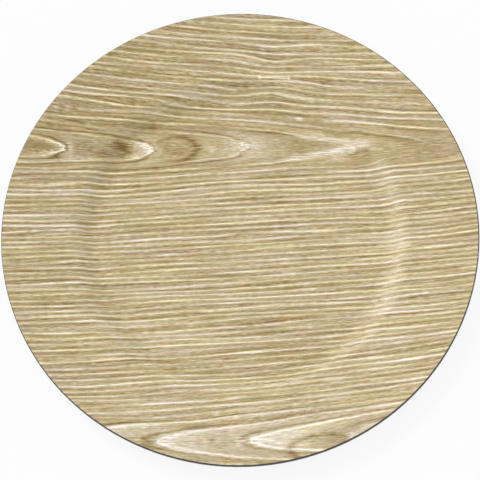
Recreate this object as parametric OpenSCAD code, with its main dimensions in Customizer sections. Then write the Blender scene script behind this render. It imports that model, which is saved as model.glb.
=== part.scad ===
// Round charger plate: a moulded plastic plate with a wood-look film bonded to its face.
// The plate turns about Z, its foot ring stands on Z = 0, and the grain of the film runs along X.

/* [Plate] */
// Diameter across the moulded edge
plate_d = 330; // [300:1:380]
// Thickness of the moulded plastic
plastic_t = 2; // [1.4:0.1:3]

/* [Well] */
// Diameter of the flat floor of the well
floor_d = 197; // [150:1:210]
// Rise from the floor of the well to the start of the rim
well_depth = 6.8; // [6:0.1:11]
// Slope of the wall between the floor and the rim, in degrees
wall_slope = 29; // [26:1:32]
// Radius of the bend from the floor into the wall, on the moulded face
floor_bend = 18; // [10:0.5:22]
// Radius of the bend from the wall into the rim, on the moulded face
rim_bend = 12; // [8:0.5:16]

/* [Rim] */
// Upward slope of the rim where it leaves the wall, in degrees
rim_slope = 3.6; // [1:0.2:6]
// Upward slope of the rim at the outer edge, in degrees
edge_slope = 11; // [8:0.5:16]
// Depth of the lip under the outer edge, whose inner side slopes at 45 degrees
lip_drop = 0.5; // [0.3:0.1:2]
// Width of the lip under the outer edge
lip_w = 2.4; // [2:0.1:6]
// Radius on the corners of the outer edge
edge_round = 0.3; // [0.2:0.05:0.4]

/* [Foot ring] */
// Distance from the edge of the well's floor in to the foot ring
foot_inset = 8.5; // [3:0.5:40]
// Height of the foot ring under the floor
foot_h = 1.6; // [0.8:0.1:3]
// Width of the foot ring where it stands
foot_w = 2; // [1.2:0.1:4]
// Draft on both sides of the foot ring, in degrees
foot_draft = 20; // [5:1:35]

/* [Moulding gate] */
// Diameter of the recess around the gate
gate_recess_d = 9; // [6:0.5:14]
// Depth of the recess around the gate
gate_recess_h = 0.5; // [0.5:0.1:0.8]
// Diameter of the trimmed gate
gate_d = 2.4; // [1.5:0.1:4]
// Height of the trimmed gate inside its recess
gate_h = 0.35; // [0.1:0.05:0.5]

/* [Film] */
// Thickness of the wood-look film
film_t = 0.3; // [0.2:0.05:0.6]
// Bare plastic left between the film and the outer edge
film_margin = 0.7; // [0.4:0.1:4]

/* [Hidden] */
$fn = 240;
bend_steps = 10;
rim_steps = 8;
edge_steps = 6;
overlap = 1;

plate_r = plate_d / 2;
floor_r = floor_d / 2;
film_r = plate_r - film_margin;
floor_z = foot_h + plastic_t;

// Rise and run of the straight stretch of the wall between its two bends
wall_rise = well_depth - floor_bend * (1 - cos(wall_slope))
    - rim_bend * (cos(rim_slope) - cos(wall_slope));
wall_run = wall_rise / tan(wall_slope);

// Centres of the two bends, which the top and the underside share
floor_bend_c = [floor_r, floor_z + floor_bend];
rim_bend_c = floor_bend_c
    + [(floor_bend + rim_bend) * sin(wall_slope) + wall_run,
       wall_rise - (floor_bend + rim_bend) * cos(wall_slope)];

// The rim curves up gently from rim_slope to edge_slope, about a centre high above it
rim_start = rim_bend_c + rim_bend * [-sin(rim_slope), cos(rim_slope)];
rim_curve = (plate_r - rim_start[0]) / (sin(edge_slope) - sin(rim_slope));
rim_curve_c = rim_start + rim_curve * [-sin(rim_slope), cos(rim_slope)];

// Points on an arc, from one angle to the other
function arc(centre, r, from, to, steps) = [
    for (i = [0:steps])
        let (a = from + (to - from) * i / steps)
            centre + r * [cos(a), sin(a)]
];

function reversed(points) = [for (i = [len(points) - 1:-1:0]) points[i]];

// Slope and height of the rim at radius r, on a skin that lies a distance up from the moulded face
function slope_at(r, up) = asin((r - rim_curve_c[0]) / (rim_curve - up));
function rim_z(r, up) = rim_curve_c[1] - (rim_curve - up) * cos(slope_at(r, up));

// Half section of such a skin, from the axis out to radius r
function skin(up, r) = concat(
    [[0, floor_z + up]],
    arc(floor_bend_c, floor_bend - up, -90, wall_slope - 90, bend_steps),
    arc(rim_bend_c, rim_bend + up, wall_slope + 90, rim_slope + 90, bend_steps),
    [for (i = [1:rim_steps])
        let (a = rim_slope + (slope_at(r, up) - rim_slope) * i / rim_steps)
            rim_curve_c + (rim_curve - up) * [sin(a), -cos(a)]]
);

// Half section of the outer edge: round at the top, down past the lip, round again at its foot
lip_z = rim_z(plate_r - lip_w, -plastic_t) - lip_drop;
round_r = plate_r - edge_round;
outer_edge = concat(
    arc([round_r, rim_z(round_r, -edge_round)], edge_round, 90 + edge_slope, 0, edge_steps),
    arc([round_r, lip_z + edge_round], edge_round, 0, -90, edge_steps),
    [[plate_r - lip_w, lip_z]]
);

// Stands under the floor of the well and carries the plate
module foot_ring() {
    foot_r = floor_r - foot_inset;
    root_h = foot_h + plastic_t / 2;
    flare = root_h * tan(foot_draft);
    rotate_extrude()
        polygon([
            [foot_r - foot_w, 0],
            [foot_r, 0],
            [foot_r + flare, root_h],
            [foot_r - foot_w - flare, root_h]
        ]);
}

// What the recess takes out of the underside, round the stub of the gate
module gate_recess() {
    roof_z = foot_h + gate_recess_h;
    difference() {
        translate([0, 0, foot_h - overlap])
            cylinder(d = gate_recess_d, h = gate_recess_h + overlap);
        translate([0, 0, roof_z - gate_h])
            cylinder(d = gate_d, h = gate_h + overlap);
    }
}

module plate_body() {
    color([0.09, 0.08, 0.075])
    difference() {
        union() {
            rotate_extrude()
                polygon(concat(
                    skin(0, film_r),
                    outer_edge,
                    reversed(skin(-plastic_t, plate_r - lip_w - lip_drop))
                ));
            foot_ring();
        }
        gate_recess();
    }
}

// Follows the face of the plate and stops short of its outer edge
module wood_film() {
    color([0.78, 0.71, 0.56])
    rotate_extrude()
        polygon(concat(skin(film_t, film_r), reversed(skin(0, film_r))));
}

plate_body();
wood_film();
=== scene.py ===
import math

import bpy
import numpy as np
from mathutils import Matrix, Vector


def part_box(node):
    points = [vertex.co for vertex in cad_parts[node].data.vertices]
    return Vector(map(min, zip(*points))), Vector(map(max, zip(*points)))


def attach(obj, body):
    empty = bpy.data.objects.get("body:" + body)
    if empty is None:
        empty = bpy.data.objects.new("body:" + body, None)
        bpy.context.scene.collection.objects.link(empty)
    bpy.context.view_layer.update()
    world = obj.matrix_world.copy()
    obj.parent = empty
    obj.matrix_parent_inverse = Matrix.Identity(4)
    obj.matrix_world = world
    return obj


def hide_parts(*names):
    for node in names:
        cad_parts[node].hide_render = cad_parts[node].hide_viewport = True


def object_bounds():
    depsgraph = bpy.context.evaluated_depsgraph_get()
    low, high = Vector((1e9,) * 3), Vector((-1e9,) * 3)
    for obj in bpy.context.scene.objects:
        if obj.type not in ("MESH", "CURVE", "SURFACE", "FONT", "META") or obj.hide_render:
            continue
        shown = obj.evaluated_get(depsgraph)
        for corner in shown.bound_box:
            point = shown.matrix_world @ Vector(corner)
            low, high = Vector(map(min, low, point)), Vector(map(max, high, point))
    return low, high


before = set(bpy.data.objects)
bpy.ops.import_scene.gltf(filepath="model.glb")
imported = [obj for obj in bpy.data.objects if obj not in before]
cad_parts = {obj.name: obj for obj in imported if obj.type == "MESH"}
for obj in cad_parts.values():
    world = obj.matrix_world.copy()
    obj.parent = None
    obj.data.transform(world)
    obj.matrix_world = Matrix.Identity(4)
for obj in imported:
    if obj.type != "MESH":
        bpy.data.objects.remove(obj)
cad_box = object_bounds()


# Moulded plate body: one injection moulding in near-black polypropylene, with a satin mould
# finish. It was filled through a gate at its centre, so faint flow marks run out from there.
# Only its outer edge shows from above. The foot ring underneath is rubbed by table tops.
body_black = (0.022, 0.019, 0.017, 1.0)
body_flow_grey = (0.036, 0.032, 0.029, 1.0)
foot_rub_grey = (0.085, 0.080, 0.074, 1.0)
foot_rub_height = 0.0006
flow_per_metre = 14.0
flow_per_radian = 2.5
body_roughness = 0.38
flow_roughness = 0.14
rub_roughness = 0.2
tooth_height = 0.00005


def place_node(tree, kind, sockets=None, **settings):
    """Adds a node, sets its options, and fills its sockets with numbers or other outputs."""
    node = tree.nodes.new(kind)
    for name, value in settings.items():
        setattr(node, name, value)
    for name, value in (sockets or {}).items():
        if isinstance(value, bpy.types.NodeSocket):
            tree.links.new(value, node.inputs[name])
        else:
            node.inputs[name].default_value = value
    return node


def reckon(tree, operation, *terms, clamp=False):
    """One step of arithmetic on sockets or numbers."""
    node = place_node(tree, "ShaderNodeMath", dict(enumerate(terms)), operation=operation)
    node.use_clamp = clamp
    return node.outputs[0]


def share_between(tree, value, low, high, at_low=0.0, at_high=1.0):
    """Goes from at_low to at_high while a value goes from low to high."""
    sockets = {
        "Value": value,
        "From Min": low,
        "From Max": high,
        "To Min": at_low,
        "To Max": at_high,
    }
    return place_node(tree, "ShaderNodeMapRange", sockets).outputs[0]


def blend_colours(tree, share, first, second, blend="MIX"):
    """Lays the second colour over the first by the given share."""
    # In a Mix node set to colours, sockets 0, 6 and 7 are the share and the two colours
    sockets = {0: share, 6: first, 7: second}
    node = place_node(tree, "ShaderNodeMix", sockets, data_type="RGBA", blend_type=blend)
    return node.outputs[2]


def new_finish(name):
    """An empty material with a Principled shader, and its node tree."""
    finish = bpy.data.materials.new(name)
    finish.use_nodes = True
    return finish, finish.node_tree, finish.node_tree.nodes["Principled BSDF"]


# The fine tooth that both the mould and the film's embossing roller leave on a surface
tooth_group = bpy.data.node_groups.new("surface tooth", "ShaderNodeTree")
for socket_name, in_out, socket_type in (
    ("Place", "INPUT", "NodeSocketVector"),
    ("Grain size", "INPUT", "NodeSocketFloat"),
    ("Stretch", "INPUT", "NodeSocketFloat"),
    ("Depth", "INPUT", "NodeSocketFloat"),
    ("Normal", "OUTPUT", "NodeSocketVector"),
):
    tooth_group.interface.new_socket(name=socket_name, in_out=in_out, socket_type=socket_type)
tooth_in = tooth_group.nodes.new("NodeGroupInput")
tooth_out = tooth_group.nodes.new("NodeGroupOutput")
tooth_scale = reckon(tooth_group, "DIVIDE", 1.0, tooth_in.outputs["Grain size"])
tooth_along = reckon(tooth_group, "DIVIDE", tooth_scale, tooth_in.outputs["Stretch"])
tooth_scales = place_node(
    tooth_group, "ShaderNodeCombineXYZ", {"X": tooth_along, "Y": tooth_scale, "Z": tooth_scale}
)
tooth_place = place_node(
    tooth_group,
    "ShaderNodeVectorMath",
    {0: tooth_in.outputs["Place"], 1: tooth_scales.outputs[0]},
    operation="MULTIPLY",
)
tooth_noise = place_node(
    tooth_group,
    "ShaderNodeTexNoise",
    {"Vector": tooth_place.outputs[0], "Scale": 1.0, "Detail": 2.0, "Roughness": 0.6},
)
tooth_bump = place_node(
    tooth_group,
    "ShaderNodeBump",
    {
        "Strength": tooth_in.outputs["Depth"],
        "Distance": tooth_height,
        "Height": tooth_noise.outputs[0],
    },
)
tooth_group.links.new(tooth_bump.outputs[0], tooth_out.inputs["Normal"])

satin_black, tree, shader = new_finish("satin black polypropylene")
place = place_node(tree, "ShaderNodeTexCoord").outputs["Object"]
place_xyz = place_node(tree, "ShaderNodeSeparateXYZ", {"Vector": place}).outputs
radius = place_node(tree, "ShaderNodeVectorMath", {0: place}, operation="LENGTH").outputs["Value"]
bearing = reckon(tree, "ARCTAN2", place_xyz["Y"], place_xyz["X"])
# Flow marks: streaks along the radius that waver as the melt did
flow_place = place_node(
    tree,
    "ShaderNodeCombineXYZ",
    {
        "X": reckon(tree, "MULTIPLY", radius, flow_per_metre),
        "Y": reckon(tree, "MULTIPLY", bearing, flow_per_radian),
    },
)
flow = place_node(
    tree,
    "ShaderNodeTexNoise",
    {"Vector": flow_place.outputs[0], "Scale": 1.0, "Detail": 3.0, "Distortion": 0.4},
).outputs[0]
mould_tooth = place_node(
    tree,
    "ShaderNodeGroup",
    node_tree=tooth_group,
    sockets={"Place": place, "Grain size": 0.0006, "Stretch": 1.0, "Depth": 0.35},
)
# The foot is rubbed where it stands, in short scuffs
scuff = place_node(
    tree, "ShaderNodeTexNoise", {"Vector": place, "Scale": 420.0, "Detail": 3.0, "Roughness": 0.7}
).outputs[0]
near_table = share_between(tree, place_xyz["Z"], 0.0, foot_rub_height, 1.0, 0.0)
rubbed = share_between(tree, reckon(tree, "MULTIPLY", scuff, near_table), 0.35, 0.6)
flow_share = share_between(tree, flow, 0.35, 0.75)
plain_black = blend_colours(tree, flow_share, body_black, body_flow_grey)
body_colour = blend_colours(tree, rubbed, plain_black, foot_rub_grey)
tree.links.new(body_colour, shader.inputs["Base Color"])
body_gloss = reckon(tree, "MULTIPLY_ADD", flow, flow_roughness, body_roughness)
body_gloss = reckon(tree, "MULTIPLY_ADD", rubbed, rub_roughness, body_gloss)
tree.links.new(body_gloss, shader.inputs["Roughness"])
tree.links.new(mould_tooth.outputs["Normal"], shader.inputs["Normal"])

plate_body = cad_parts["plate_body"]
plate_body.data.materials.clear()
plate_body.data.materials.append(satin_black)


# Wood-look film: a thin printed and embossed sheet, hot pressed onto the face of the plate and
# trimmed just short of its edge. The print is flat-sawn light oak: fine lines run across the
# plate and fold into pointed arches in two places, with pores and fibres between them.
mm = 0.001
film_shift = (-0.20, 0.17)
trim_spread = 0.1
film_thickness = 0.3
plate_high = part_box("plate_body")[1]
film_low, film_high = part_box("wood_film")
plate_radius = round(plate_high[0] / mm, 2)
film_radius = round(film_high[0] / mm + trim_spread, 2)
well_floor_radius = 98.5
well_floor_height = round(film_low[2] / mm, 2)
well_depth = 6.8
wall_slope = math.radians(29)
floor_bend = 18.0
rim_bend = 12.0
rim_slope = math.radians(3.6)
edge_slope = math.radians(11)

# The mesh, in mm
row_step = 0.6
column_step = 2.4
pole_step = math.radians(1)
edge_fade = 2.0
tiny = 1e-6

# The lines of the grain, in mm. The two fold levels say how far up the board the lines fold
# into arches: above the middle they point right, and at the front edge they point left.
upper_fold = 69.5
lower_fold = -147
grain_relief = 0.05
line_pitch = 4.7
line_width = 0.40
groove_offset = 1.8
widest_gap = 70
arch_shoulder = 20
# The rings lie deeper to the right by the tip slope, which sets how far apart the arch tips
# are. The next two values slide the tips of the lower band and of both bands along.
tip_slope = 0.072
lower_tip_shift = 4.87
first_line = 0.54
middle_crowding = 0.0505


def face_height(radius, up):
    """Height in mm of the plate's face at a radius, on a skin that lies a distance up from it."""
    floor_centre = np.array([well_floor_radius, well_floor_height + floor_bend])
    wall_rise = (
        well_depth
        - floor_bend * (1 - math.cos(wall_slope))
        - rim_bend * (math.cos(rim_slope) - math.cos(wall_slope))
    )
    both_bends = floor_bend + rim_bend
    rim_centre = floor_centre + [
        both_bends * math.sin(wall_slope) + wall_rise / math.tan(wall_slope),
        wall_rise - both_bends * math.cos(wall_slope),
    ]
    towards_rim = np.array([-math.sin(rim_slope), math.cos(rim_slope)])
    rim_start = rim_centre + rim_bend * towards_rim
    rim_curve = (plate_radius - rim_start[0]) / (math.sin(edge_slope) - math.sin(rim_slope))
    curve_centre = rim_start + rim_curve * towards_rim
    low, high, wide = floor_bend - up, rim_bend + up, rim_curve - up
    wall_from = floor_centre + low * np.array([math.sin(wall_slope), -math.cos(wall_slope)])
    wall_to = rim_centre[0] - high * math.sin(wall_slope)
    rim_from = rim_centre[0] - high * math.sin(rim_slope)

    def arc(centre, size, side):
        return centre[1] + side * np.sqrt(np.maximum(size**2 - (radius - centre[0]) ** 2, 0))

    height = np.full_like(radius, well_floor_height + up)
    height = np.where(radius > floor_centre[0], arc(floor_centre, low, -1), height)
    on_wall = wall_from[1] + (radius - wall_from[0]) * math.tan(wall_slope)
    height = np.where(radius > wall_from[0], on_wall, height)
    height = np.where(radius > wall_to, arc(rim_centre, high, 1), height)
    return np.where(radius > rim_from, arc(curve_centre, wide, -1), height)


def eased(share):
    """From 0 to 1 with soft ends."""
    share = np.clip(share, 0, 1)
    return share * share * (3 - 2 * share)


def bell(distance, half_width):
    """A soft mask that is 1 at no distance and falls away on both sides."""
    return np.exp(-((distance / half_width) ** 2))


def softened(y, softness):
    """The distance from a fold, rounded off at the fold itself."""
    return np.sqrt(softness**2 + y * y)


def gentle_ramp(u, softness):
    """Near 0 on one side and rising on the other, with a soft bend between."""
    return 0.5 * (u + np.sqrt(u * u + softness * softness))


def arch(y):
    """Depth in mm of a growth ring's arch beside its axis: a blunt V with straight sides."""
    share = np.minimum(np.abs(y) / arch_shoulder, 1)
    blunt_tip = 0.15 * softened(y, 1.2)
    shoulders = 17 * (share**3 - share**4 / 2)
    straight_sides = 0.85 * np.maximum(np.abs(y) - arch_shoulder, 0)
    return blunt_tip + shoulders + straight_sides


def wander(x, y, length, width, seed):
    """Smooth waviness from -1 to 1, drawn out along x, from a lattice of seeded values."""
    cells = 160
    lattice = np.random.default_rng(seed).uniform(-1, 1, (cells, cells))
    u = x / length + cells / 2
    v = y / width + cells / 2
    i = np.floor(u).astype(int)
    j = np.floor(v).astype(int)
    a = eased(u - i)
    b = eased(v - j)
    i, j = i % (cells - 1), j % (cells - 1)
    near = lattice[i, j] * (1 - a) + lattice[i + 1, j] * a
    far = lattice[i, j + 1] * (1 - a) + lattice[i + 1, j + 1] * a
    return near * (1 - b) + far * b


def patch(x, y, at_x, at_y, half_length, half_width, tilt=0.07):
    """A soft oval place on the face, 1 at its middle, that falls to the right by its tilt."""
    u = (x - at_x) / half_length
    v = (y - at_y + tilt * (x - at_x)) / half_width
    return np.exp(-(u * u + v * v))


def sum_of_patches(x, y, places):
    """Adds up patches. Each place is an amount, then where and how large its patch is."""
    return sum(amount * patch(x, y, *place) for amount, *place in places)


def across_grain(x, y):
    """How far up the board a point lies, in mm, with the grain's tilt and bow taken out."""
    front = eased((-55 - y) / 60)
    back = eased((y - 25) / 40)
    tilt = 0.070 - 0.03 * front
    bow = 0.00011 * back + 0.00020 * front
    level = y + tilt * x - bow * x**2
    # The grain swells out towards both ends of the upper band of arches
    swell = 8 * (1 - bell(x + 5, 90)) * bell(level - 70, 26)
    # The lines crowd together round a short pale fleck on the upper rim
    from_fleck = y - 116.5
    crowding = 0.55 * from_fleck * bell(x - 31, 19) * bell(from_fleck, 15)
    return level + swell + crowding


# Places where a ring lies off its even arch: a depth in mm, then the patch that it covers
ring_shifts = (
    # The last arch of the upper band is long and narrow
    (-0.85, 72, 62, 30, 10),
    (-0.3, 55, 73, 24, 8),
    (0.9, 46, 56, 20, 6),
    # The first arch of the upper band is slim, and blunt at its tip
    (-0.9, -140, 80, 14, 6),
    (-0.9, -140, 64, 14, 6),
    (-0.42, -122, 72, 16, 14),
)


def ring_count(x, y):
    """The number of growth rings up to a point: a whole number on each line of the grain."""
    level = across_grain(x, y)
    from_upper = level - upper_fold
    from_lower = level - lower_fold
    depth = arch(from_upper) + from_lower - arch(from_lower) - 2.6
    depth += tip_slope * (x + 55) + lower_tip_shift * eased((-88 - level) / 45)
    depth += sum_of_patches(x, y, ring_shifts)
    # The lines lie closer together between the two bands of arches
    closer = gentle_ramp(level + 75, 20) - gentle_ramp(level - 42, 20)
    count = depth / line_pitch - middle_crowding * closer + first_line
    # They waver, but less where they fold
    steady = bell(from_upper, 11) + bell(from_lower, 11)
    waver = 0.26 * wander(x, level, 60, 5.2, 11) + 0.30 * wander(x, level, 130, 17, 12)
    return count + (1 - 0.85 * steady) * waver


# Rows of points run across the plate, closer near its front and back
quarter_turn = math.pi / 2
row_angles = [0.0]
while row_angles[-1] < quarter_turn - tiny:
    step = min(pole_step, row_step / (film_radius * math.cos(row_angles[-1])))
    row_angles.append(min(row_angles[-1] + step, quarter_turn))
row_angles = [-angle for angle in row_angles[:0:-1]] + row_angles
side_columns = math.ceil(film_radius / column_step)
columns = [column_step * k for k in range(-side_columns, side_columns + 1)]
points = []
rows = []
for angle in row_angles:
    half = film_radius * math.cos(angle)
    y = film_radius * math.sin(angle)
    if half < tiny:
        xs = [0.0]
    else:
        xs = [-half] + [x for x in columns if abs(x) < half - 0.3 * column_step] + [half]
    rows.append(range(len(points), len(points) + len(xs)))
    points += [(x, y) for x in xs]
points = np.array(points)

# Neighbouring rows are joined like a zip, from left to right
faces = []
for lower_row, upper_row in zip(rows, rows[1:]):
    a, b = 0, 0
    while a < len(lower_row) - 1 or b < len(upper_row) - 1:
        next_a = points[lower_row[a + 1], 0] if a < len(lower_row) - 1 else math.inf
        next_b = points[upper_row[b + 1], 0] if b < len(upper_row) - 1 else math.inf
        if next_a <= next_b:
            faces.append((lower_row[a], lower_row[a + 1], upper_row[b]))
            a += 1
        else:
            faces.append((lower_row[a], upper_row[b + 1], upper_row[b]))
            b += 1

# The film was laid on by hand, a little off the middle of the plate
points += film_shift
face_x, face_y = points[:, 0], points[:, 1]
face_r = np.minimum(np.hypot(face_x, face_y), film_radius)
rings = ring_count(face_x, face_y)
slope_step = 0.25
slope_x = (ring_count(face_x + slope_step, face_y) - rings) / slope_step
slope_y = (ring_count(face_x, face_y + slope_step) - rings) / slope_step
steepness = np.hypot(slope_x, slope_y) + tiny
level = across_grain(face_x, face_y)
from_upper = level - upper_fold
from_lower = level - lower_fold

# Where the lines fold, where the white tips of the upper arches lie, and the creamy lower band
fold = bell(from_upper, 13) + bell(from_lower, 9)
tip_width = 3 + 2 * eased((-40 - face_x) / 20) + 2.5 * eased((-90 - face_x) / 20)
tip = bell(from_upper, tip_width)
cream = bell(from_lower, 11)
# Which side of a line its dark groove lies on: outside the arches, and both sides elsewhere
above_right = eased(from_upper / 6) * eased((face_x + 20) / 60)
side = (1 - 2 * above_right) * bell(from_upper + 4, 18)
side -= bell(from_lower - 8, 16)

# The embossing follows the lines, and fades out before the trimmed edge
gap = np.minimum(1 / steepness, widest_gap)
from_line = (rings - np.round(rings)) * gap


def ridge(distance):
    """A smooth ridge on a line of the grain."""
    return np.exp(-0.5 * (distance / line_width) ** 2)


line_shape = ridge(from_line) - (0.5 + 0.5 * side) * ridge(from_line - groove_offset)
line_shape -= (0.5 - 0.5 * side) * ridge(from_line + groove_offset)
near_edge = eased((film_radius - face_r) / edge_fade)
relief = grain_relief * (0.5 - 0.5 * np.clip(line_shape, -1, 1)) * near_edge
face_z = np.minimum(face_height(face_r, film_thickness) - relief, cad_box[1][2] / mm)

# The skirt and the underside carry on from the outline, ring by ring, with more rings where
# the wall bends
outline = [row[0] for row in rows] + [row[-1] for row in rows[-2:0:-1]]
bearing_xy = (points[outline] - film_shift) / film_radius
under_radii = [film_radius, 150, 135, 120, 117, 114, 111, 108, 105, 102, 98.5, 92, 70, 45, 20]
under = []
for under_r in under_radii:
    ring_xy = bearing_xy * under_r + film_shift
    ring_z = face_height(np.hypot(ring_xy[:, 0], ring_xy[:, 1]), 0.0)
    under.append(np.column_stack([ring_xy, ring_z]))
under_middle = np.array([[0, 0, well_floor_height]])
vertices = np.vstack([np.column_stack([points, face_z])] + under + [under_middle])
loop = list(outline)
count = len(outline)
start = len(points)
for _ in under_radii:
    below = [start + k for k in range(count)]
    for k in range(count):
        m = (k + 1) % count
        faces.append((loop[k], loop[m], below[m], below[k]))
    loop = below
    start += count
faces += [(loop[k], loop[(k + 1) % count], start) for k in range(count)]

face_mesh = bpy.data.meshes.new("wood_face")
face_mesh.from_pydata((vertices * mm).tolist(), [], faces)
face_mesh.validate()
face_mesh.update()
if face_mesh.polygons[0].normal.z < 0:
    face_mesh.flip_normals()
face_mesh.polygons.foreach_set("use_smooth", [True] * len(face_mesh.polygons))
# The two edges of the trimmed side stay sharp
skirt = [len(points) + k for k in range(count)]
trim_edges = {
    frozenset((edge[k], edge[(k + 1) % count])) for edge in (outline, skirt) for k in range(count)
}
sharp = face_mesh.attributes.new("sharp_edge", "BOOLEAN", "EDGE")
sharp.data.foreach_set("value", [frozenset(e.vertices) in trim_edges for e in face_mesh.edges])


def oval_line(at_x, at_y, half_length, half_width, softness):
    """A soft line round an oval on the face, 1 on the line."""
    around = np.hypot((face_x - at_x) / half_length, (face_y - at_y) / half_width)
    return bell(around - 1, softness)


# Browner places in the print, below 0, and creamier ones, above 0: an amount, then its patch
tone_places = (
    # First arch of the upper band: the pale place past its tip
    (1.7, -115, 73, 5, 7),
    # Second arch: its brown ground, the brown smudge and streak inside it, and its pale tip
    (-0.85, -95, 77, 62, 17),
    (-3.0, -78, 73.5, 5.5, 4.5),
    (-1.8, -92, 68, 7, 1.8),
    (1.3, -60, 73, 9, 4.5),
    # Third arch: its pale tip, and a pale spot inside it
    (0.9, 14, 70, 6, 4),
    (0.9, -16, 69, 5, 2),
    # Last arch: its lower and upper arms, its tip, its pale ground, and a brown mark outside it
    (2.0, 58, 59, 30, 2.3, -0.10),
    (1.7, 56, 71, 27, 1.8, 0.165),
    (1.0, 78, 62, 10, 2),
    (0.45, 20, 63, 34, 9),
    (-1.5, 90, 56, 10, 3.5),
    # The browner ground above the left arches, and to the right of the last one
    (-0.25, -70, 118, 60, 20),
    (-0.5, 125, 56, 34, 8),
    # Lower band: its creamy ground, the first arch's arm, the brown over it and its tip
    (0.50, -20, -142, 120, 20),
    (0.5, -68, -136, 12, 3),
    (-0.8, -42, -134, 20, 3.5),
    (0.4, -59, -143.5, 8, 3),
    # The second arch's tip, and the pale place before it
    (0.8, 3, -147.5, 7, 4),
    (0.7, -9, -145.5, 5, 6),
)
tone_and_sheen = sum_of_patches(face_x, face_y, tone_places)
tone_and_sheen -= 0.25 * eased((face_x - 85) / 50)
# Painted sheen: the print is paler in a band down the wall of the well, with painted shade in a
# band at the wall's foot
tone_and_sheen += 0.42 * bell(face_r - 111.5, 3.4)
tone_and_sheen -= 0.15 * bell(face_r - 101, 4.5)
# More painted sheen on the front right of the wall, the side that faces the lamp
front_wall_sheen = bell(face_r - 108.5, 3.6) * eased((0.75 * face_x - 0.66 * face_y) / 90)
tone_and_sheen += 0.35 * front_wall_sheen

# Brown stains: under the crescent, in the first arch, in the last arch, and under the arc
stain_places = (
    (-1.2, -38, 69, 13, 7),
    (-1.2, -124, 73.5, 9, 3.4),
    (-0.5, 38, 67, 30, 4),
    (-0.7, 50, -156, 16, 7),
)
stain = sum_of_patches(face_x, face_y, stain_places)
# A brown crescent that closes the second arch of the upper band
crescent_side = eased((face_x + 55 + 0.3 * (face_y - 70)) / 16)
stain -= 2.4 * oval_line(-42, 70, 16.5, 9, 0.18) * crescent_side
# A brown arc inside the second arch of the lower band
stain -= 2.0 * oval_line(46, -155.5, 22.5, 9, 0.13) * eased((70 - face_x) / 20)

# Calm places, where the lines fade: right of the last arch, inside it, on the wall's front where
# the painted sheen washes them out, in the first arch, at the front right edge, and a little in
# all of the lower band
calm = np.zeros(len(points))
for amount, mask in (
    (1.0, patch(face_x, face_y, 130, 54, 40, 9)),
    (0.85, patch(face_x, face_y, 58, 65, 38, 15)),
    (0.45, front_wall_sheen),
    (0.5, patch(face_x, face_y, -142, 73, 17, 14)),
    (0.9, patch(face_x, face_y, 74, -148, 17, 10)),
    (0.22, cream),
):
    calm += amount * (1 - calm) * mask

# Each point of the film's face carries these numbers, for the print to read
for name, values in (
    ("rings", rings),
    ("side", side),
    ("gap", gap * (1 - 0.45 * cream)),
    ("level", level),
    ("fold", fold),
    ("tip", tip),
    ("cream", cream),
    # Print tones, with the painted sheen and shade on the wall
    ("tone_and_sheen", tone_and_sheen),
    ("stain", stain),
    ("calm", calm),
):
    padded = np.zeros(len(vertices), dtype=np.float32)
    padded[: len(values)] = values
    face_mesh.attributes.new(name, "FLOAT", "POINT").data.foreach_set("value", padded)

oak_print, tree, shader = new_finish("oak print film")


def oak_shade(red, green, blue):
    """A colour written as screen levels up to 255, as the linear values that a shader takes."""
    return [((c / 255 + 0.055) / 1.055) ** 2.4 for c in (red, green, blue)] + [1.0]


def read_point(name):
    """A number that the film's points carry."""
    return place_node(tree, "ShaderNodeAttribute", attribute_name=name).outputs["Fac"]


def times(first, second):
    """One mask or number times another."""
    return reckon(tree, "MULTIPLY", first, second)


def plus(total, amount, mask):
    """Adds an amount of a mask to a running total."""
    return reckon(tree, "MULTIPLY_ADD", mask, amount, total)


place = place_node(tree, "ShaderNodeTexCoord").outputs["Object"]
place_xyz = place_node(tree, "ShaderNodeSeparateXYZ", {"Vector": place}).outputs
along = times(place_xyz["X"], 1 / mm)
up_face = times(place_xyz["Y"], 1 / mm)
rings_read = read_point("rings")
side_read = read_point("side")
fold_read = read_point("fold")
tip_read = read_point("tip")
cream_read = read_point("cream")
tone_and_sheen_read = read_point("tone_and_sheen")
by_rings = times(rings_read, line_pitch)
by_level = read_point("level")


def streaks(length, width, seed, detail=0.0, across=by_rings):
    """Marks drawn out along the grain, around 0, with their length and width in mm."""
    spot = place_node(
        tree,
        "ShaderNodeCombineXYZ",
        {"X": plus(seed, 1 / length, along), "Y": plus(0.37 * seed, 1 / width, across)},
    ).outputs[0]
    noise = place_node(
        tree,
        "ShaderNodeTexNoise",
        {"Vector": spot, "Scale": 1.0, "Detail": detail, "Roughness": 0.55},
        noise_dimensions="2D",
    )
    return reckon(tree, "SUBTRACT", noise.outputs[0], 0.5)


def fibres(length, width, seed):
    """Streaks that follow the lines, but run straight on where the lines fold back."""
    beside = streaks(length, width, seed)
    through = streaks(length, width, seed, across=by_level)
    sockets = {"Factor": fold_read, "A": beside, "B": through}
    return place_node(tree, "ShaderNodeMix", sockets).outputs[0]


def hump(distance, width):
    """A smooth hump around 0, with its width in mm."""
    share = times(distance, 1 / width)
    return reckon(tree, "EXPONENT", times(times(share, share), -0.5))


def dash(from_x, from_y, to_x, to_y, width):
    """A straight soft-edged mark between two places on the face, in mm."""
    length = math.hypot(to_x - from_x, to_y - from_y)
    cos, sin = (to_x - from_x) / length, (to_y - from_y) / length
    off_x = reckon(tree, "SUBTRACT", along, (from_x + to_x) / 2)
    off_y = reckon(tree, "SUBTRACT", up_face, (from_y + to_y) / 2)
    u = plus(times(off_y, sin), cos, off_x)
    v = plus(times(off_y, cos), -sin, off_x)
    beyond = reckon(tree, "SUBTRACT", reckon(tree, "ABSOLUTE", u), length / 2)
    beyond = reckon(tree, "MAXIMUM", beyond, 0.0)
    return hump(reckon(tree, "SQRT", plus(times(beyond, beyond), v, v)), width)


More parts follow.
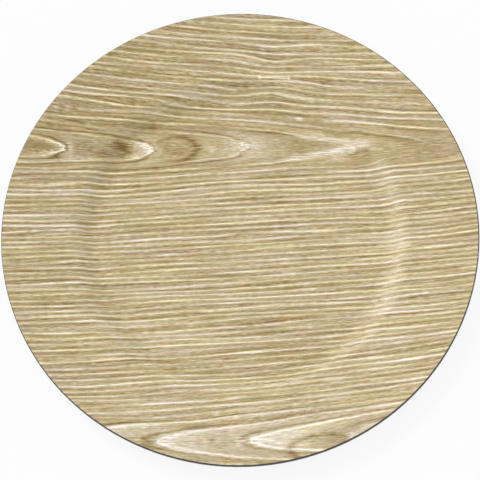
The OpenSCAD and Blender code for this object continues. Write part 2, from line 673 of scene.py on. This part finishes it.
# Distance from the nearest line of the grain, in lines and then in mm
phase = plus(rings_read, 0.16, streaks(30, 2.6, 3.1, 1.0))
phase = plus(phase, 0.09, times(streaks(5, 1.6, 5.9, 1.0, by_level), fold_read))
lines_off = reckon(tree, "SUBTRACT", phase, reckon(tree, "ROUND", phase))
mm_off = times(lines_off, read_point("gap"))

# A line is a pale crest, which swells and thins along its length, between two dark grooves
thinness = reckon(tree, "MAXIMUM", plus(1.05, 1.7, streaks(26, 3.1, 13.3)), 0.65)
wave = hump(times(mm_off, thinness), line_width)
groove_share = plus(plus(0.5, -0.22, cream_read), -0.15, tip_read)
one_sided = times(side_read, groove_share)
past_groove = hump(reckon(tree, "SUBTRACT", mm_off, groove_offset), line_width)
past_share = reckon(tree, "SUBTRACT", times(one_sided, -1.0), groove_share)
wave = plus(wave, past_share, past_groove)
before_groove = hump(reckon(tree, "ADD", mm_off, groove_offset), line_width)
before_share = reckon(tree, "SUBTRACT", one_sided, groove_share)
wave = plus(wave, before_share, before_groove)

# Each line has its own strength, fades in and out along its length, and fades in calm places
own_strength = place_node(
    tree, "ShaderNodeTexNoise", {"W": phase, "Scale": 0.83}, noise_dimensions="1D"
).outputs[0]
strength = plus(plus(0.14, 1.7, own_strength), 0.7, fold_read)
fade = plus(plus(1.0, 1.9, streaks(38, 3.5, 9.7)), -0.3, tip_read)
strength = times(strength, reckon(tree, "MAXIMUM", fade, 0.2))
lively = reckon(tree, "SUBTRACT", 1.0, read_point("calm"))
lines = times(wave, times(strength, lively))

# Where a line folds back it is a white outline, with brown outside it
white_tip = times(hump(plus(mm_off, 1.5, side_read), 2.3), times(tip_read, lively))
speckle = reckon(tree, "MAXIMUM", plus(1.0, 5.0, fibres(2.6, 0.7, 28.4)), 0.0)
white_tip = times(white_tip, speckle)
window = plus(1.0, -4.0, times(lines_off, lines_off))
brown_fill = times(hump(plus(mm_off, -5.5, side_read), 4.0), times(fold_read, lively))
brown_fill = times(brown_fill, window)
# In the lower band each line has a broad creamy side
cream_band = times(hump(reckon(tree, "SUBTRACT", mm_off, 4.0), 3.8), window)
cream_band = times(cream_band, cream_read)

# Shade of the print, from 0 at its darkest to 1 at its palest
plain_shade = 0.494
ragged_tone = plus(1.0, 3.4, fibres(10, 0.8, 17.5))
streaky_stain = plus(1.0, 1.8, fibres(12, 0.9, 19.5))
shade = plain_shade
for amount, mask in (
    (0.285, lines),
    (0.24, cream_band),
    (0.30, white_tip),
    (-0.12, brown_fill),
    # Print tones, with the painted sheen and shade on the wall
    (0.15, times(tone_and_sheen_read, ragged_tone)),
    (0.15, times(read_point("stain"), streaky_stain)),
    # Fibres, from short to long, broad bands of growth, and pores
    (0.36, fibres(14, 0.58, 21.3)),
    (0.48, fibres(4.5, 0.40, 35.9)),
    (0.31, streaks(80, 2.2, 47.2)),
    (0.20, streaks(150, 6.0, 52.8, 1.0)),
    (-0.18, share_between(tree, fibres(2.2, 0.36, 61.5), 0.20, 0.32)),
    # A short pale fleck with a bead at each end, and the small knot to its lower right
    (0.6, dash(21.5, 117.2, 42.0, 114.8, 0.34)),
    (0.25, dash(21.2, 118.2, 21.6, 116.4, 0.7)),
    (0.25, dash(42.3, 115.8, 42.7, 114.0, 0.7)),
    (0.3, dash(46.4, 86.9, 48.4, 86.3, 0.9)),
):
    shade = plus(shade, amount, mask)

oak_ramp = place_node(tree, "ShaderNodeValToRGB", {"Fac": shade})
stops = (
    (0.00, oak_shade(118, 92, 42)),
    (0.20, oak_shade(147, 123, 74)),
    (0.45, oak_shade(182, 163, 121)),
    (0.70, oak_shade(218, 203, 168)),
    (0.85, oak_shade(238, 226, 196)),
    (1.00, oak_shade(253, 246, 227)),
)
elements = oak_ramp.color_ramp.elements
while len(elements) < len(stops):
    elements.new(0.5)
for element, (position, colour) in zip(elements, stops):
    element.position = position
    element.color = colour

# The print wavers between olive and pink, and between golden and grey, along the grain
olive = (0.965, 1.02, 1.0, 1.0)
pink = (1.035, 0.98, 1.0, 1.0)
golden = (1.0, 1.0, 0.87, 1.0)
grey = (1.0, 1.0, 1.13, 1.0)
pinker = plus(plus(0.58, -0.30, cream_read), 3.2, fibres(20, 1.5, 71.4))
pinker = plus(pinker, -0.35, white_tip)
# Creamier print tones and the painted sheen on the wall take pink out
pinker = plus(pinker, -0.20, reckon(tree, "MAXIMUM", tone_and_sheen_read, 0.0))
pinker = reckon(tree, "MAXIMUM", reckon(tree, "MINIMUM", pinker, 1.0), 0.0)
pink_tint = blend_colours(tree, pinker, olive, pink)
# Print tones and the painted sheen on the wall make it greyer
greyer = plus(plus(0.41, 0.40, tone_and_sheen_read), 2.2, fibres(15, 1.3, 83.6))
greyer = plus(greyer, 0.75, cream_read)
greyer = reckon(tree, "MULTIPLY_ADD", streaks(80, 4.5, 95.2), 2.0, greyer, clamp=True)
grey_tint = blend_colours(tree, greyer, golden, grey)
oak_colour = blend_colours(tree, 1.0, oak_ramp.outputs["Color"], pink_tint, "MULTIPLY")
oak_colour = blend_colours(tree, 1.0, oak_colour, grey_tint, "MULTIPLY")
tree.links.new(oak_colour, shader.inputs["Base Color"])

# Paler places are a little glossier, and stand a little prouder in the embossing
film_roughness = 0.58
pale_gloss = 0.10
tree.links.new(plus(film_roughness, -pale_gloss, shade), shader.inputs["Roughness"])
film_tooth = place_node(
    tree,
    "ShaderNodeGroup",
    node_tree=tooth_group,
    sockets={"Place": place, "Grain size": 0.0003, "Stretch": 6.0, "Depth": 0.25},
).outputs["Normal"]
emboss = place_node(
    tree,
    "ShaderNodeBump",
    {"Strength": 0.35, "Distance": 0.0001, "Height": shade, "Normal": film_tooth},
)
tree.links.new(emboss.outputs[0], shader.inputs["Normal"])

wood_face = bpy.data.objects.new("wood_face", face_mesh)
bpy.context.scene.collection.objects.link(wood_face)
face_mesh.materials.append(oak_print)
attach(wood_face, "root")
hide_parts("wood_film")


# Floor: a plain white photographic table that carries the plate and takes its soft shadow.
# It looks nearly white to the camera and in reflections, and is plain matt paint otherwise.
floor_half = 4.0
floor_drop = 0.0002
table_glow = 0.9


def seen_share(tree):
    """1 for what the camera sees, directly or in gloss or glass, and 0 for light on the plate."""
    rays = place_node(tree, "ShaderNodeLightPath").outputs
    seen = reckon(tree, "ADD", rays["Is Camera Ray"], rays["Is Glossy Ray"])
    return reckon(tree, "ADD", seen, rays["Is Transmission Ray"], clamp=True)


floor_mesh = bpy.data.meshes.new("white_table")
floor_corners = [
    (x * floor_half, y * floor_half, -floor_drop)
    for x, y in ((-1, -1), (1, -1), (1, 1), (-1, 1))
]
floor_mesh.from_pydata(floor_corners, [], [(0, 1, 2, 3)])
white_paint, tree, shader = new_finish("white table paint")
shader.inputs["Base Color"].default_value = (0.86, 0.86, 0.86, 1.0)
shader.inputs["Roughness"].default_value = 0.9
shader.inputs["Specular IOR Level"].default_value = 0.0
seen_white = place_node(
    tree, "ShaderNodeEmission", {"Color": (1.0, 1.0, 1.0, 1.0), "Strength": 1.0}
)
white_share = reckon(tree, "MULTIPLY", seen_share(tree), table_glow)
floor_mix = place_node(
    tree,
    "ShaderNodeMixShader",
    {0: white_share, 1: shader.outputs[0], 2: seen_white.outputs[0]},
)
tree.links.new(floor_mix.outputs[0], tree.nodes["Material Output"].inputs["Surface"])
floor_mesh.materials.append(white_paint)
white_table = bpy.data.objects.new("white_table", floor_mesh)
bpy.context.scene.collection.objects.link(white_table)


# Light: a large soft lamp at the back left, and an even pale surround that fills the shadows.
# Together they give a level face about the colour it is painted.
lamp_bearing = math.radians(136)
lamp_elevation = math.radians(46)
surround_fill = 0.64
lamp = bpy.data.lights.new("soft lamp", "SUN")
lamp.energy = 1.6
lamp.angle = math.radians(28)
lamp.color = (1.0, 0.995, 0.985)
soft_lamp = bpy.data.objects.new("soft lamp", lamp)
lamp_from = Vector(
    (
        math.cos(lamp_elevation) * math.cos(lamp_bearing),
        math.cos(lamp_elevation) * math.sin(lamp_bearing),
        math.sin(lamp_elevation),
    )
)
soft_lamp.rotation_euler = lamp_from.to_track_quat("Z", "Y").to_euler()
soft_lamp.location = lamp_from
bpy.context.scene.collection.objects.link(soft_lamp)

surround = bpy.data.worlds.new("pale surround")
surround.use_nodes = True
tree = surround.node_tree
backdrop = tree.nodes["Background"]
backdrop.inputs["Color"].default_value = (1.0, 1.0, 1.0, 1.0)
fill_level = reckon(tree, "MULTIPLY_ADD", seen_share(tree), 1 - surround_fill, surround_fill)
tree.links.new(fill_level, backdrop.inputs["Strength"])
bpy.context.scene.world = surround


# Camera: looks down on the plate from the front at 71 degrees, turned a little clockwise, with
# a long lens from far enough away that the plate fills the frame with hardly any perspective.
camera_distance = 1.85
camera_elevation = math.radians(71)
camera_turn = math.radians(4.05)
aim = Vector((-0.0002, -0.0049, 0.0167))
camera_data = bpy.data.cameras.new("camera")
camera_data.lens = 201.35
camera_data.sensor_width = 36.0
camera = bpy.data.objects.new("camera", camera_data)
back = Vector((0.0, -math.cos(camera_elevation), math.sin(camera_elevation)))
level_right = Vector((1.0, 0.0, 0.0))
level_up = back.cross(level_right)
right = math.cos(camera_turn) * level_right - math.sin(camera_turn) * level_up
up = math.sin(camera_turn) * level_right + math.cos(camera_turn) * level_up
turned = Matrix((right, up, back)).transposed().to_4x4()
camera.matrix_world = Matrix.Translation(aim + camera_distance * back) @ turned
bpy.context.scene.collection.objects.link(camera)
bpy.context.scene.camera = camera
bpy.context.scene.view_settings.view_transform = "Standard"
